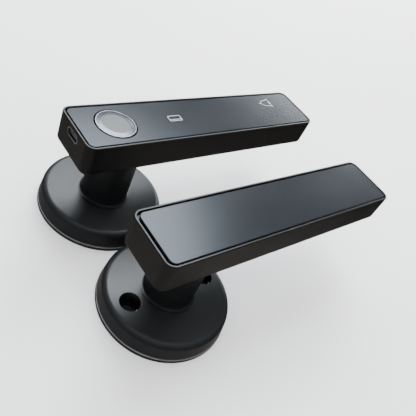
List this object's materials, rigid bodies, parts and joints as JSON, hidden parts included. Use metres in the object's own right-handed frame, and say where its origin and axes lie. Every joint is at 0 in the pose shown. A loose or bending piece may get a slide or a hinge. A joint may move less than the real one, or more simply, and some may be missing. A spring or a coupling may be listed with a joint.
{
  "type": "keypad smart lock lever handle pair",
  "caption": "Pair of black smart door levers on round roses: outside lever with touch panel and fingerprint reader, inside lever with battery cover.",
  "frame": {"origin": "centre of the outside unit's rose on the face that meets the door", "axes": "+X along the levers to their free ends, +Z out of the door face, the inside unit stands beside the outside one towards -Y"},
  "size_m": [0.1622, 0.134, 0.0576],
  "materials": {
    "black_coating": "satin",
    "neck_coating": "satin",
    "black_anodised": "satin",
    "panel_black": "satin",
    "rubber_black": "matte",
    "cast_zinc": "matte",
    "steel": "satin",
    "blackened_steel": "satin",
    "bright_ring": "polished",
    "sensor_grey": "satin",
    "bezel_grey": "satin",
    "bush_plastic": "matte",
    "black_plastic": "matte",
    "circuit_board": "satin",
    "copper": "satin",
    "port_metal": "satin",
    "battery_jacket": "gloss",
    "ribbon_amber": "satin"
  },
  "bodies": {
    "outside_rose": {"outside_gasket": "rubber_black", "outside_mounting_plate": "cast_zinc", "outside_rose_cover": "black_coating", "outside_collar_bush": "bush_plastic", "outside_return_spring": "steel", "outside_threaded_posts": "steel", "outside_cable_socket": "black_plastic"},
    "outside_hub": {"outside_spindle_hub": "steel"},
    "outside_lever": {"outside_neck": "neck_coating", "outside_retaining_ring": "steel", "outside_return_cam": "steel", "outside_neck_screws": "steel", "outside_flex_cable": "ribbon_amber", "outside_lever_housing": "black_anodised", "outside_port_shell": "port_metal", "outside_port_tongue": "black_plastic", "outside_touch_panel": "panel_black", "outside_fingerprint_ring": "bright_ring", "outside_fingerprint_bezel": "bezel_grey", "outside_fingerprint_sensor": "sensor_grey", "outside_touch_board": "circuit_board", "outside_control_board": "circuit_board", "outside_card_antenna": "copper", "outside_buzzer": "black_plastic", "outside_clutch_frame": "black_plastic", "outside_clutch_motor": "steel"},
    "clutch_screw": {"outside_lead_screw": "steel"},
    "clutch_dog": {"outside_clutch_dog": "steel"},
    "inside_rose": {"inside_gasket": "rubber_black", "inside_mounting_plate": "cast_zinc", "inside_rose_cover": "black_coating", "inside_collar_bush": "bush_plastic", "inside_return_spring": "steel", "inside_bolt_bushes": "blackened_steel", "inside_cable_socket": "black_plastic"},
    "inside_lever": {"inside_neck": "neck_coating", "inside_retaining_ring": "steel", "inside_return_cam": "steel", "inside_neck_screws": "steel", "inside_flex_cable": "ribbon_amber", "inside_lever_housing": "black_anodised", "inside_spindle_socket": "steel", "inside_power_board": "circuit_board", "inside_battery_tray": "black_plastic", "inside_batteries": "battery_jacket", "inside_battery_contacts": "steel"},
    "battery_cover": {"inside_battery_cover": "panel_black"}
  },
  "joints": [
    {"name": "outside_lever_turn", "type": "hinge", "parent": "outside_rose", "child": "outside_lever", "pos_m": [0, 0, 0.02], "axis": [0, 0, 1], "range_deg": [0, 50], "stiffness_Nm_per_rad": 0.5, "springref_deg": -20.05, "deforming": ["outside_return_spring"]},
    {"name": "outside_hub_turn", "type": "hinge", "parent": "outside_rose", "child": "outside_hub", "pos_m": [0, 0, 0.006], "axis": [0, 0, 1], "range_deg": [-50, 50]},
    {"name": "clutch_dog_slide", "type": "slide", "parent": "outside_lever", "child": "clutch_dog", "axis": [0, 0, -1], "range_m": [0, 0.0025]},
    {"name": "clutch_screw_turn", "type": "hinge", "parent": "outside_lever", "child": "clutch_screw", "pos_m": [0, 0, 0.02], "axis": [0, 0, 1], "range_deg": [0, 451]},
    {"name": "inside_unit_lift", "type": "slide", "parent": "outside_rose", "child": "inside_rose", "axis": [0, 0, 1], "range_m": [0, 0.15]},
    {"name": "inside_lever_turn", "type": "hinge", "parent": "inside_rose", "child": "inside_lever", "pos_m": [0, -0.068, 0.02], "axis": [0, 0, 1], "range_deg": [-50, 0], "stiffness_Nm_per_rad": 0.5, "springref_deg": 20.05, "deforming": ["inside_return_spring"]},
    {"name": "battery_cover_lift", "type": "slide", "parent": "inside_lever", "child": "battery_cover", "axis": [0, 0, 1], "range_m": [0, 0.04]}
  ],
  "couplings": [
    {"joint": "clutch_screw_turn", "follows": "clutch_dog_slide", "rad_per_m": 3141.6}
  ]
}
